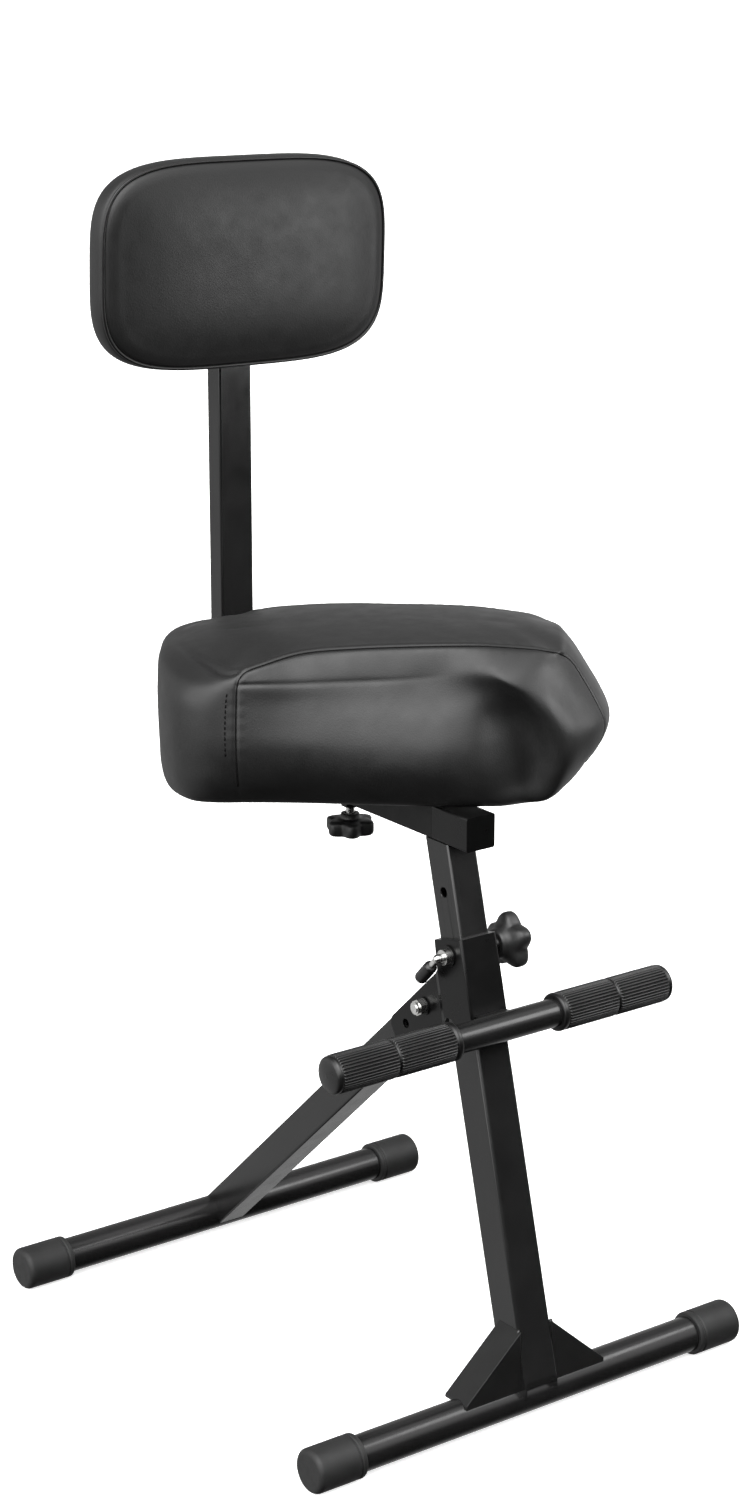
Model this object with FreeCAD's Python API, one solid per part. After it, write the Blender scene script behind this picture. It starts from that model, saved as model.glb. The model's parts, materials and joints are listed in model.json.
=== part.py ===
import FreeCAD, Part
import math
import os

from FreeCAD import Vector as V

os.makedirs("parts", exist_ok=True)

# ---------------------------------------------------------------- dimensions
# millimetres; +Z up, the sitter faces -Y, the sitter's left is +X
# base
BASE_Y = 234.2            # front base tube at -BASE_Y, rear one at +BASE_Y
BASE_Z = 19.3             # height of both base tube axes
BASE_R = 16.0             # round base tube, outside radius
BASE_WALL = 2.0
FRONT_LEN = 465.0         # over the rubber feet
REAR_LEN = 455.0
FOOT_R = 19.6             # rubber foot, outside radius
FOOT_LEN = 48.0
FOOT_END = 5.0            # end wall of a rubber foot
# post
LEAN = 0.255              # post leans back by this much per unit of height
POST_Y0 = -245.84         # post axis at floor level
POST_HALF = 17.5          # outer post, half width of the square
POST_WALL = 1.5
POST_TOP = 424.0          # along the post axis
INNER_HALF = 15.0         # sliding post, half width
INNER_WALL = 2.0
INNER_BOTTOM = 185.0
PIN_S = 410.2             # height lock, along the post axis
HOLE_PITCH = 54.0
HOLE_R = 4.5
# hinge and rear leg
PIVOT = (-108.0, 340.5)   # y, z of the leg pivot
LEG_HALF = 15.0
LEG_WALL = 1.5
EAR_GAP = 0.35            # leg to hinge ear
EAR_T = 2.0                # sheet of the hinge bracket
# footrest
REST_Y, REST_Z = -195.6, 345.0
REST_R = 12.5
REST_LEN = 359.0
GRIP_R = 16.75
GRIP_LEN = 125.0
# seat support
BEAM_HALF = 15.0
BEAM_Z0, BEAM_Z1 = 493.0, 523.0
HEAD_Y0, BEAM_Y0, BEAM_Y1 = -162.0, -114.0, 110.0
ARM_HALF = 12.5
ARM_Y0 = -60.0
CLAMP_Y = 23.0
# saddle
SWIVEL_Y = -21.0
TURN = 53.0               # saddle turned to the sitter's left at rest
SEAT_Z0 = 532.5
BOARD_T = 12.0
# backrest
UP_FRONT = 195.2
UP_W, UP_D = 35.0, 20.0
UP_TOP = 992.0
PAD_Z0, PAD_Z1 = 862.0, 1040.0
PAD_HALF = 150.0
PAD_CORNER = 72.0
PAD_FRONT, PAD_REAR = 149.0, 192.0

TH = math.atan(LEAN)
POST_PL = FreeCAD.Placement(V(0, POST_Y0, 0), FreeCAD.Rotation(V(1, 0, 0), -math.degrees(TH)))


def out(name, *solids):
    shape = solids[0] if len(solids) == 1 else Part.makeCompound(list(solids))
    shape.exportStep("parts/%s.step" % name)


def post(shape):
    s = shape.copy()
    s.Placement = POST_PL.multiply(s.Placement)
    return s


def box(x0, x1, y0, y1, z0, z1):
    return Part.makeBox(x1 - x0, y1 - y0, z1 - z0, V(x0, y0, z0))


def cyl(r, a, b):
    a, b = V(*a), V(*b)
    return Part.makeCylinder(r, (b - a).Length, a, b - a)


def prism(points, axis, length):
    w = Part.makePolygon([V(*p) for p in points] + [V(*points[0])])
    return Part.Face(w).extrude(V(*axis) * length)


def hexagon(flat, a, b):
    """Hexagonal bar along X or Z between points a and b."""
    a, b = V(*a), V(*b)
    r = flat / math.sqrt(3.0)
    pts = []
    for i in range(6):
        t = math.radians(60 * i + 30)
        c, s = r * math.cos(t), r * math.sin(t)
        pts.append(V(a.x, a.y + c, a.z + s) if abs(b.x - a.x) > 1e-6 else V(a.x + c, a.y + s, a.z))
    return Part.Face(Part.makePolygon(pts + [pts[0]])).extrude(b - a)


def square_tube(half, wall, z0, z1, radius=2.5):
    o = box(-half, half, -half, half, z0, z1)
    o = o.makeFillet(radius, [e for e in o.Edges if abs(e.Length - (z1 - z0)) < 1e-6])
    h = half - wall
    return o.cut(box(-h, h, -h, h, z0 - 1, z1 + 1))


# ---------------------------------------------------------------- base tubes
def base_tube(y, over):
    h = over / 2.0 - FOOT_END
    t = cyl(BASE_R, (-h, y, BASE_Z), (h, y, BASE_Z))
    return t.cut(cyl(BASE_R - BASE_WALL, (-h - 1, y, BASE_Z), (h + 1, y, BASE_Z)))


def foot(y, over, side):
    """Rubber cap of revolution: a rolled lip at its open end and a well rounded closed end."""
    x1 = over / 2.0
    x0 = x1 - FOOT_LEN
    r = FOOT_R
    pts = [(x0, BASE_R), (x0, r - 1.2), (x0 + 0.5, r - 0.3), (x0 + 1.4, r), (x0 + 4.2, r), (x0 + 5.0, r - 0.9),
           (x0 + 6.2, r - 0.9), (x0 + 7.4, r)]
    e = 5.0
    pts += [(x1 - e + e * math.sin(math.radians(q)), r - e + e * math.cos(math.radians(q))) for q in range(0, 91, 15)]
    pts += [(x1, 0.0), (x1 - FOOT_END, 0.0), (x1 - FOOT_END, BASE_R)]
    w = Part.makePolygon([V(side * x, y, BASE_Z + q) for x, q in pts + pts[:1]])
    c = Part.Face(w).revolve(V(0, y, BASE_Z), V(1, 0, 0), 360)
    return c.cut(box(-400, 400, y - 60, y + 60, -40, 0))


front_tube = base_tube(-BASE_Y, FRONT_LEN)
rear_tube = base_tube(BASE_Y, REAR_LEN)
out("front_base_tube", front_tube)
out("rear_base_tube", rear_tube)
out("front_feet", foot(-BASE_Y, FRONT_LEN, -1), foot(-BASE_Y, FRONT_LEN, 1))
out("rear_feet", foot(BASE_Y, REAR_LEN, -1), foot(BASE_Y, REAR_LEN, 1))

front_solid = cyl(BASE_R, (-300, -BASE_Y, BASE_Z), (300, -BASE_Y, BASE_Z))
rear_solid = cyl(BASE_R, (-300, BASE_Y, BASE_Z), (300, BASE_Y, BASE_Z))

# ---------------------------------------------------------------- outer post
outer = square_tube(POST_HALF, POST_WALL, 0.0, POST_TOP)
outer = outer.cut(cyl(HOLE_R, (-40, 0, PIN_S), (40, 0, PIN_S)))
outer = post(outer).cut(front_solid).cut(box(-60, 60, -400, 0, -60, 27.0))
outer = outer.cut(box(-60, 60, -400, -BASE_Y - FOOT_R + 0.2, -60, 80.0))
outer = max(outer.Solids, key=lambda s: s.Volume)
out("outer_post", outer)

# plastic guide collar in the mouth of the outer post
o = POST_HALF - POST_WALL
g = INNER_HALF + 0.05
collar = box(-o, o, -o, o, POST_TOP - 40.0, POST_TOP)
collar = collar.cut(box(-g, g, -g, g, POST_TOP - 60, POST_TOP + 10))
collar = collar.cut(cyl(HOLE_R, (-40, 0, PIN_S), (40, 0, PIN_S))).removeSplitter()
out("post_guide", post(collar))

# folded gussets between the post and the front base tube
GUS_TOP, GUS_X, GUS_T = 86.0, 76.0, 2.5


def gusset(side):
    x0, x1 = side * POST_HALF, side * GUS_X
    top = prism([(x0, -246, GUS_TOP), (x1, -246, 34.0), (x1, -246, 34.0 - GUS_T), (x0, -246, GUS_TOP - GUS_T - 1.0)],
                (0, 1, 0), 30.0)
    cheek = prism([(x0, -246, GUS_TOP - 1), (x1, -246, 34.0 - 1), (x1, -246, 22.0), (x0, -246, 22.0)],
                  (0, 1, 0), GUS_T)
    g = top.fuse(cheek).removeSplitter()
    g = g.cut(front_solid)
    g = g.cut(post(box(-POST_HALF, POST_HALF, -POST_HALF, POST_HALF, -60, 300)))
    return max(g.Solids, key=lambda s: s.Volume)


out("post_gussets", gusset(-1), gusset(1))

# ---------------------------------------------------------------- hinge bracket
# one folded sheet round the front and sides of the post, set in behind it to the ears of the leg hinge
EAR_IN = LEG_HALF + EAR_GAP
EAR_OUT = EAR_IN + EAR_T
CHK_OUT = POST_HALF + EAR_T
EAR_SIDE = [(-4.0, 334.5), (-24.0, 334.5), (-24.0, POST_TOP), (17.0, POST_TOP), (19.5, 397.5), (24.5, 394.5), (104.5, 350.0),
            (97.0, 325.0), (62.0, 327.0), (30.0, 347.0), (19.0, 356.0), (10.0, 355.0)]


def local(y, z):
    return ((y - POST_Y0) * math.cos(TH) - z * math.sin(TH), (y - POST_Y0) * math.sin(TH) + z * math.cos(TH))


PIV = local(*PIVOT)
LEG_VEC = (BASE_Y - PIVOT[0], BASE_Z - PIVOT[1])
LEG_L = math.hypot(*LEG_VEC)
LEG_DIR = (LEG_VEC[0] / LEG_L, LEG_VEC[1] / LEG_L)
LOCK = (PIVOT[0] + 35.6 * LEG_DIR[0], PIVOT[1] + 35.6 * LEG_DIR[1])
LOCK_L = local(*LOCK)
BOLT_R = 4.0


half_prof = [(EAR_IN, 120.0), (EAR_IN, 24.6), (POST_HALF, 18.2), (POST_HALF, -POST_HALF)]
half_outer = [(CHK_OUT, -CHK_OUT), (CHK_OUT, 19.6), (EAR_OUT, 26.0), (EAR_OUT, 120.0)]
prof = half_prof + [(-x, y) for x, y in reversed(half_prof)] + [(-x, y) for x, y in reversed(half_outer)] + half_outer
channel = prism([(x, y, 300.0) for x, y in prof], (0, 0, 1), 140.0)
channel = channel.makeFillet(2.2, [e for e in channel.Edges if abs(e.Length - 140.0) < 1e-6
                                   and abs(abs(e.Vertexes[0].X) - CHK_OUT) < 1e-6
                                   and abs(e.Vertexes[0].Y + CHK_OUT) < 1e-6])
side_face = prism([(-40.0, y, s) for y, s in EAR_SIDE], (1, 0, 0), 80.0)
side_face = side_face.makeFillet(9.0, [e for e in side_face.Edges if abs(e.Length - 80.0) < 1e-6
                                       and e.Vertexes[0].Y > 90.0])
bracket = channel.common(side_face)
bracket = bracket.cut(cyl(BOLT_R, (-40, PIV[0], PIV[1]), (40, PIV[0], PIV[1])))
bracket = bracket.cut(cyl(4.25, (-40, LOCK_L[0], LOCK_L[1]), (40, LOCK_L[0], LOCK_L[1])))
bracket = bracket.cut(cyl(HOLE_R, (-40, 0, PIN_S), (40, 0, PIN_S)))
# the post's rounded corners leave a sliver of air inside the bends
out("hinge_bracket", post(max(bracket.Solids, key=lambda s: s.Volume)))

# pivot bolt, washers and nut
PY, PZ = PIVOT
WASH = 1.6
bolt = cyl(BOLT_R, (-EAR_OUT - WASH - 10.0, PY, PZ), (EAR_OUT + WASH, PY, PZ))
head = hexagon(13.0, (EAR_OUT + WASH, PY, PZ), (EAR_OUT + WASH + 5.3, PY, PZ))
out("pivot_bolt", bolt.fuse(head).removeSplitter())


def ring(r1, r0, a, b):
    d = (V(*b) - V(*a)).normalize()
    return cyl(r1, a, b).cut(cyl(r0, tuple(V(*a) - d), tuple(V(*b) + d)))


out("pivot_washers",
    ring(8.0, BOLT_R, (EAR_OUT, PY, PZ), (EAR_OUT + WASH, PY, PZ)),
    ring(8.0, BOLT_R, (-EAR_OUT, PY, PZ), (-EAR_OUT - WASH, PY, PZ)))
nut = hexagon(13.0, (-EAR_OUT - WASH, PY, PZ), (-EAR_OUT - WASH - 6.5, PY, PZ))
dome = cyl(5.6, (-EAR_OUT - WASH - 6.5, PY, PZ), (-EAR_OUT - WASH - 9.0, PY, PZ))
out("pivot_nut", nut.fuse(dome).removeSplitter().cut(bolt))

# ---------------------------------------------------------------- rear leg
LEG_PL = FreeCAD.Placement(V(0, BASE_Y, BASE_Z), FreeCAD.Rotation(
    V(1, 0, 0), V(0, LEG_DIR[1], -LEG_DIR[0]), V(0, -LEG_DIR[0], -LEG_DIR[1]), "ZXY"))
LEG_TOP = LEG_L + 14.0


def leg(shape):
    s = shape.copy()
    s.Placement = LEG_PL.multiply(s.Placement)
    return s


BUSH_R = 6.0
leg_tube = square_tube(LEG_HALF, LEG_WALL, 0.0, LEG_TOP, 2.0)
leg_tube = leg_tube.cut(cyl(BUSH_R, (-30, 0, LEG_L), (30, 0, LEG_L)))
leg_tube = leg_tube.cut(cyl(4.25, (-30, 0, LEG_L - 35.6), (30, 0, LEG_L - 35.6)))
leg_tube = leg(leg_tube).cut(rear_solid)
leg_tube = max(leg_tube.Solids, key=lambda s: s.Volume)
out("rear_leg_tube", leg_tube)
out("leg_bush", ring(BUSH_R, BOLT_R + 0.05, (-LEG_HALF, PY, PZ), (LEG_HALF, PY, PZ)))
h = LEG_HALF - LEG_WALL
plug = box(-h, h, -h, h, LEG_TOP - 6.0, LEG_TOP)
cap = box(-LEG_HALF, LEG_HALF, -LEG_HALF, LEG_HALF, LEG_TOP, LEG_TOP + 2.5)
cap = cap.makeFillet(1.5, [e for e in cap.Edges if abs(e.Length - 2.5) < 1e-6])
out("leg_plug", leg(plug.fuse(cap).removeSplitter()))

# ---------------------------------------------------------------- footrest
half = REST_LEN / 2.0
bar_half = half - 6.0
bar = cyl(REST_R, (-bar_half, REST_Y, REST_Z), (bar_half, REST_Y, REST_Z))
bar = bar.cut(cyl(REST_R - 1.5, (-bar_half - 1, REST_Y, REST_Z), (bar_half + 1, REST_Y, REST_Z)))
out("footrest_bar", bar)
ry, rs = local(REST_Y, REST_Z)
saddle_block = box(-16.0, 16.0, ry, -CHK_OUT, rs - 11.0, rs + 11.0)
saddle_block = post(saddle_block).cut(cyl(REST_R, (-60, REST_Y, REST_Z), (60, REST_Y, REST_Z)))
out("footrest_saddle", max(saddle_block.Solids, key=lambda s: s.Volume))


def grip(side):
    """Rubber sleeve of revolution: two barrels with a ring groove between and a domed end."""
    x_in = half - GRIP_LEN
    mid = half - GRIP_LEN / 2.0
    g = GRIP_R
    pts = [(x_in, REST_R), (x_in, g - 1.5), (x_in + 1.5, g), (mid - 3.0, g), (mid - 2.0, g - 2.2),
           (mid + 2.0, g - 2.2), (mid + 3.0, g), (half - 8.0, g), (half - 4.5, g - 1.2), (half - 1.6, g - 4.2),
           (half, g - 9.0), (half, 0.0), (half - 6.0, 0.0), (half - 6.0, REST_R)]
    w = Part.makePolygon([V(side * x, REST_Y, REST_Z + r) for x, r in pts + pts[:1]])
    return Part.Face(w).revolve(V(0, REST_Y, REST_Z), V(1, 0, 0), 360)


out("footrest_grip_left", grip(1))
out("footrest_grip_right", grip(-1))

# ---------------------------------------------------------------- sliding post, head and beam
inner = square_tube(INNER_HALF, INNER_WALL, INNER_BOTTOM, 560.0, 2.0)
for n in (-3, -2, -1, 0, 1):
    inner = inner.cut(cyl(HOLE_R, (-40, 0, PIN_S + n * HOLE_PITCH), (0, 0, PIN_S + n * HOLE_PITCH)))
inner = post(inner).cut(box(-60, 60, -400, 200, BEAM_Z0, 700))
out("inner_post", inner)
f = POST_HALF - POST_WALL - 0.05
hh = INNER_HALF - INNER_WALL
shoe = box(-f, f, -f, f, INNER_BOTTOM - 14.0, INNER_BOTTOM).fuse(
    box(-hh, hh, -hh, hh, INNER_BOTTOM, INNER_BOTTOM + 14.0)).removeSplitter()
out("post_shoe", post(shoe))

head_block = box(-BEAM_HALF, BEAM_HALF, HEAD_Y0, BEAM_Y0, BEAM_Z0, BEAM_Z1)
head_block = head_block.makeFillet(2.0, [e for e in head_block.Edges if abs(e.Length - (BEAM_Y0 - HEAD_Y0)) < 1e-6])
head_block = head_block.cut(box(-13, 13, HEAD_Y0 + 3.0, BEAM_Y0 + 1, BEAM_Z0 + 2, BEAM_Z1 - 2))
out("post_head", head_block)

beam = box(-BEAM_HALF, BEAM_HALF, BEAM_Y0, BEAM_Y1, BEAM_Z0, BEAM_Z1)
beam = beam.makeFillet(2.0, [e for e in beam.Edges if abs(e.Length - (BEAM_Y1 - BEAM_Y0)) < 1e-6])
beam = beam.cut(box(-13.5, 13.5, BEAM_Y0 - 1, BEAM_Y1 + 1, BEAM_Z0 + 1.5, BEAM_Z1 - 1.5))
beam = beam.cut(cyl(HOLE_R, (0, CLAMP_Y, BEAM_Z0 - 5), (0, CLAMP_Y, BEAM_Z0 + 5)))
out("seat_beam", beam)

BEAM_ZC = (BEAM_Z0 + BEAM_Z1) / 2.0
ag = ARM_HALF + 0.05
guide = box(-13.5, 13.5, BEAM_Y1 - 25.0, BEAM_Y1, BEAM_ZC - 13.5, BEAM_ZC + 13.5).fuse(
    box(-15.0, 15.0, BEAM_Y1, BEAM_Y1 + 2.5, BEAM_ZC - 15.0, BEAM_ZC + 15.0))
guide = guide.cut(box(-ag, ag, BEAM_Y1 - 40, BEAM_Y1 + 10, BEAM_ZC - ag, BEAM_ZC + ag)).removeSplitter()
out("arm_guide", guide)

nut_d = hexagon(14.0, (0, CLAMP_Y, BEAM_Z0 - 8.0), (0, CLAMP_Y, BEAM_Z0))
out("clamp_nut", nut_d.cut(cyl(BOLT_R + 0.05, (0, CLAMP_Y, BEAM_Z0 - 20), (0, CLAMP_Y, BEAM_Z0 + 5))))

# ---------------------------------------------------------------- swivel
low = box(-58, 58, SWIVEL_Y - 58, SWIVEL_Y + 58, BEAM_Z1, BEAM_Z1 + 2.5)
low = low.makeFillet(10.0, [e for e in low.Edges if abs(e.Length - 2.5) < 1e-6])
low = low.fuse(cyl(30.0, (0, SWIVEL_Y, BEAM_Z1 + 2.5), (0, SWIVEL_Y, BEAM_Z1 + 6.3))).removeSplitter()
low = low.cut(cyl(5.0, (0, SWIVEL_Y, BEAM_Z1 - 5), (0, SWIVEL_Y, BEAM_Z1 + 20)))
out("swivel_base", low)
king = cyl(5.0, (0, SWIVEL_Y, BEAM_Z1), (0, SWIVEL_Y, SEAT_Z0 + 4.2))
king = king.fuse(cyl(11.0, (0, SWIVEL_Y, SEAT_Z0 + 0.4), (0, SWIVEL_Y, SEAT_Z0 + 4.2))).removeSplitter()
out("swivel_kingpin", king)

rot = FreeCAD.Placement(V(0, SWIVEL_Y, 0), FreeCAD.Rotation(V(0, 0, 1), TURN - 90.0))


def turned(shape):
    """Saddle frame (u forward, v to the sitter's left, z up) to the stool frame."""
    s = shape.copy()
    s.Placement = rot.multiply(s.Placement)
    return s


top_pl = box(-65, 65, -65, 65, SEAT_Z0 - 2.5, SEAT_Z0)
top_pl = top_pl.makeFillet(10.0, [e for e in top_pl.Edges if abs(e.Length - 2.5) < 1e-6])
race = Part.makeCylinder(40.0, 4.0, V(0, 0, SEAT_Z0 - 6.5)).cut(Part.makeCylinder(30.05, 6.0, V(0, 0, SEAT_Z0 - 7.5)))
top_pl = top_pl.fuse(race).removeSplitter().cut(Part.makeCylinder(5.05, 40.0, V(0, 0, SEAT_Z0 - 20)))
SCREW = 52.0
CORNERS = [(sx * SCREW, sy * SCREW) for sx in (-1, 1) for sy in (-1, 1)]
for cx, cy in CORNERS:
    top_pl = top_pl.cut(Part.makeCylinder(2.6, 20.0, V(cx, cy, SEAT_Z0 - 10)))
out("swivel_top", turned(top_pl))


# ---------------------------------------------------------------- saddle
def spline_wire(half_pts, z, n=36):
    """Closed smooth outline, mirrored in v, through an arc-length resampling of half_pts."""
    seg = [0.0]
    for a, b in zip(half_pts, half_pts[1:]):
        seg.append(seg[-1] + math.hypot(b[0] - a[0], b[1] - a[1]))
    res = []
    for i in range(n // 2 + 1):
        t = seg[-1] * i / (n // 2)
        k = max(j for j in range(len(seg)) if seg[j] <= t + 1e-9)
        k = min(k, len(seg) - 2)
        w = (t - seg[k]) / (seg[k + 1] - seg[k])
        res.append((half_pts[k][0] + w * (half_pts[k + 1][0] - half_pts[k][0]),
                    half_pts[k][1] + w * (half_pts[k + 1][1] - half_pts[k][1])))
    full = [V(u, v, z) for u, v in res] + [V(u, -v, z) for u, v in reversed(res[1:-1])]
    c = Part.BSplineCurve()
    c.interpolate(full, PeriodicFlag=True)
    return Part.Wire(c.toShape())


SADDLE = [
    (SEAT_Z0 - 2.0, [(-170, 0), (-167.5, 48), (-150, 90), (-117.5, 99.5), (-67, 103), (-22, 105.5), (20, 107.5),
                     (57, 109), (84, 109.5), (106, 108), (126, 104), (146, 91), (156, 66), (165, 42), (173, 0)]),
    (548.0, [(-185, 0), (-181.5, 50), (-162, 96), (-118, 112.5), (-66, 116.5), (-22, 118.5), (19, 119.5), (57, 118),
             (84, 111.5), (106, 100), (126, 92), (152.5, 90.5), (166, 68), (175, 43), (183, 0)]),
    (570.0, [(-189.3, 0), (-186.5, 50), (-167, 98.3), (-118.7, 117), (-66, 120), (-22, 120), (18, 119), (57, 115),
             (84, 105.5), (106, 88.5), (126, 79.5), (153, 89.5), (175, 69), (189, 43.5), (197, 0)]),
    (590.0, [(-190.5, 0), (-187.6, 50), (-168, 98.5), (-119, 117), (-66, 115), (-22, 111.5), (18, 108.5), (56, 105),
             (82, 97.5), (103, 84), (121, 78), (145.5, 90.6), (172, 67), (189, 41), (195.8, 0)]),
    (612.0, [(-190.6, 0), (-187.5, 50), (-167, 97), (-119, 112.5), (-66, 106.5), (-22, 101.5), (17, 97), (54, 93),
             (79, 89), (97, 82.5), (111, 80.5), (133, 91), (160, 66), (177.5, 37.5), (185, 0)]),
    (630.0, [(-189.4, 0), (-185.5, 49), (-162, 95), (-118.6, 109), (-66, 100.5), (-22, 93.3), (17, 88.3), (50, 84.5),
             (72, 84.5), (90, 85), (113, 90), (147, 67), (166, 38.5), (173, 0)]),
    (643.0, [(-185.5, 0), (-178.5, 47), (-165, 70), (-139, 86), (-116.5, 103), (-66, 95), (-22, 90), (17, 85), (52, 81),
             (80, 82), (93, 83), (112, 80), (138, 68), (157, 43), (164.7, 0)]),
    (652.0, [(-146, 0), (-138, 45), (-108, 80), (-92, 90), (-66, 88), (-22, 84), (17, 80), (54, 76), (87, 73),
             (112, 67.5), (132, 61), (150, 35), (154, 0)]),
    (661.0, [(-85, 0), (-76, 30), (-55, 50), (-22, 64), (17, 66), (54, 63), (87, 52), (108, 32), (118, 0)]),
]
cushion = Part.makeLoft([spline_wire(p, z) for z, p in SADDLE], True, True)

BOARD = [(-150, 0), (-149, 45), (-132, 78), (-100, 89), (-40, 93), (20, 93), (68, 89), (100, 76), (124, 52), (140, 0)]


def board_face(grow, z):
    pts = [(u * (1 + grow / 150.0), v * (1 + grow / 90.0)) for u, v in BOARD]
    full = [V(u, v, z) for u, v in pts] + [V(u, -v, z) for u, v in reversed(pts[1:-1])]
    return Part.Face(Part.makePolygon(full + [full[0]]))


board = board_face(0.0, SEAT_Z0).extrude(V(0, 0, BOARD_T))
board = board.cut(Part.makeCylinder(13.0, 7.0, V(0, 0, SEAT_Z0)))
for cx, cy in CORNERS:
    board = board.cut(Part.makeCylinder(2.5, 9.0, V(cx, cy, SEAT_Z0)))
cushion = cushion.cut(board_face(0.6, SEAT_Z0 - 10).extrude(V(0, 0, BOARD_T + 10.0)))
out("seat_cushion", turned(cushion))
out("seat_board", turned(board))
out("seat_screws", *[turned(Part.makeCylinder(5.0, 2.6, V(cx, cy, SEAT_Z0 - 5.1)).fuse(
    Part.makeCylinder(2.5, 11.0, V(cx, cy, SEAT_Z0 - 2.5))).removeSplitter()) for cx, cy in CORNERS])

# ---------------------------------------------------------------- backrest
arm = box(-ARM_HALF, ARM_HALF, ARM_Y0, UP_FRONT, BEAM_ZC - ARM_HALF, BEAM_ZC + ARM_HALF)
arm = arm.makeFillet(2.0, [e for e in arm.Edges if abs(e.Length - (UP_FRONT - ARM_Y0)) < 1e-6])
arm = arm.cut(box(-11, 11, ARM_Y0 - 1, UP_FRONT + 1, BEAM_ZC - 11, BEAM_ZC + 11))
out("backrest_arm", arm)
ap = box(-11, 11, ARM_Y0, ARM_Y0 + 8, BEAM_ZC - 11, BEAM_ZC + 11).fuse(
    box(-ARM_HALF, ARM_HALF, ARM_Y0 - 2.0, ARM_Y0, BEAM_ZC - ARM_HALF, BEAM_ZC + ARM_HALF)).removeSplitter()
out("arm_plug", ap)

UZ0 = BEAM_Z0 - 2.0
up = box(-UP_W / 2, UP_W / 2, UP_FRONT, UP_FRONT + UP_D, UZ0, UP_TOP)
up = up.makeFillet(2.5, [e for e in up.Edges if abs(e.Length - (UP_TOP - UZ0)) < 1e-6])
up = up.cut(box(-UP_W / 2 + 1.5, UP_W / 2 - 1.5, UP_FRONT + 1.5, UP_FRONT + UP_D - 1.5, UZ0 - 1, UP_TOP + 1))
out("backrest_upright", up)


def upright_plug(z0, z1, z2):
    a = box(-UP_W / 2 + 1.5, UP_W / 2 - 1.5, UP_FRONT + 1.5, UP_FRONT + UP_D - 1.5, min(z0, z1), max(z0, z1))
    b = box(-UP_W / 2, UP_W / 2, UP_FRONT, UP_FRONT + UP_D, min(z1, z2), max(z1, z2))
    b = b.makeFillet(2.0, [e for e in b.Edges if abs(e.Length - abs(z2 - z1)) < 1e-6])
    return a.fuse(b).removeSplitter()


out("upright_plugs", upright_plug(UZ0 + 10, UZ0, UZ0 - 3), upright_plug(UP_TOP - 10, UP_TOP, UP_TOP + 3))

PAD_ZC = (PAD_Z0 + PAD_Z1) / 2.0


def rounded(hw, hz, r, y, depth):
    b = box(-hw, hw, y, y + depth, PAD_ZC - hz, PAD_ZC + hz)
    return b.makeFillet(r, [e for e in b.Edges if abs(e.Length - depth) < 1e-6])


plate = rounded(60.0, 42.0, 8.0, PAD_REAR + 0.2, UP_FRONT - PAD_REAR - 0.2)
B_SCREW = [(sx * 42.0, PAD_ZC + sz * 28.0) for sx in (-1, 1) for sz in (-1, 1)]
for cx, cz in B_SCREW:
    plate = plate.cut(cyl(2.6, (cx, PAD_REAR - 5, cz), (cx, UP_FRONT + 5, cz)))
out("backrest_plate", plate)
pad_h = (PAD_Z1 - PAD_Z0) / 2.0
b_board = rounded(PAD_HALF - 16.0, pad_h - 16.0, PAD_CORNER - 16.0, PAD_REAR - 9.0, 9.2)
for cx, cz in B_SCREW:
    b_board = b_board.cut(cyl(2.5, (cx, PAD_REAR - 7.0, cz), (cx, PAD_REAR + 5, cz)))
out("backrest_board", b_board)
pad = rounded(PAD_HALF, pad_h, PAD_CORNER, PAD_FRONT, PAD_REAR - PAD_FRONT)
front_edges = [e for e in pad.Edges if all(abs(v.Point.y - PAD_FRONT) < 1e-6 for v in e.Vertexes)]
pad = pad.makeFillet(14.0, front_edges)
rear_edges = [e for e in pad.Edges if all(abs(v.Point.y - PAD_REAR) < 1e-6 for v in e.Vertexes)]
pad = pad.makeFillet(8.0, rear_edges)
pad = pad.cut(rounded(PAD_HALF - 15.6, pad_h - 15.6, PAD_CORNER - 15.6, PAD_REAR - 9.4, 20.0))
out("backrest_cushion", pad)
out("backrest_screws", *[cyl(5.0, (cx, UP_FRONT, cz), (cx, UP_FRONT + 2.6, cz)).fuse(
    cyl(2.5, (cx, PAD_REAR - 6.0, cz), (cx, UP_FRONT, cz))).removeSplitter() for cx, cz in B_SCREW])


# ---------------------------------------------------------------- knobs
def star(r_core, r_lobe, at, lobes, h):
    k = Part.makeCylinder(r_core, h)
    for i in range(lobes):
        t = 2 * math.pi * i / lobes
        k = k.fuse(Part.makeCylinder(r_lobe, h, V(at * math.cos(t), at * math.sin(t), 0)))
    k = k.removeSplitter()
    rim = [e for e in k.Edges if all(abs(v.Point.z) < 1e-6 for v in e.Vertexes)
           or all(abs(v.Point.z - h) < 1e-6 for v in e.Vertexes)]
    return k.makeChamfer(1.5, rim)


# height knob on the sitter's left of the post, with its stud and fixed nut
KNOB_X0, KNOB_T = 38.5, 16.0
knob = star(16.5, 9.0, 15.5, 5, KNOB_T)
knob.rotate(V(0, 0, 0), V(0, 0, 1), -28.7)
knob = knob.fuse(Part.makeCone(12.0, 16.4, 9.0, V(0, 0, -9.0))).removeSplitter()
knob.Placement = FreeCAD.Placement(V(KNOB_X0, 0, PIN_S), FreeCAD.Rotation(V(0, 1, 0), 90))
stud_tip = INNER_HALF + 0.3
knob = knob.cut(cyl(BOLT_R, (stud_tip, 0, PIN_S), (KNOB_X0 + 10.0, 0, PIN_S)))
out("height_knob", post(knob))
out("height_stud", post(cyl(BOLT_R, (stud_tip, 0, PIN_S), (KNOB_X0 + 10.0, 0, PIN_S))))
boss = cyl(9.5, (CHK_OUT, 0, PIN_S), (CHK_OUT + 9.0, 0, PIN_S)).cut(
    cyl(BOLT_R + 0.05, (CHK_OUT - 1, 0, PIN_S), (CHK_OUT + 20, 0, PIN_S)))
out("height_nut", post(boss))

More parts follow.
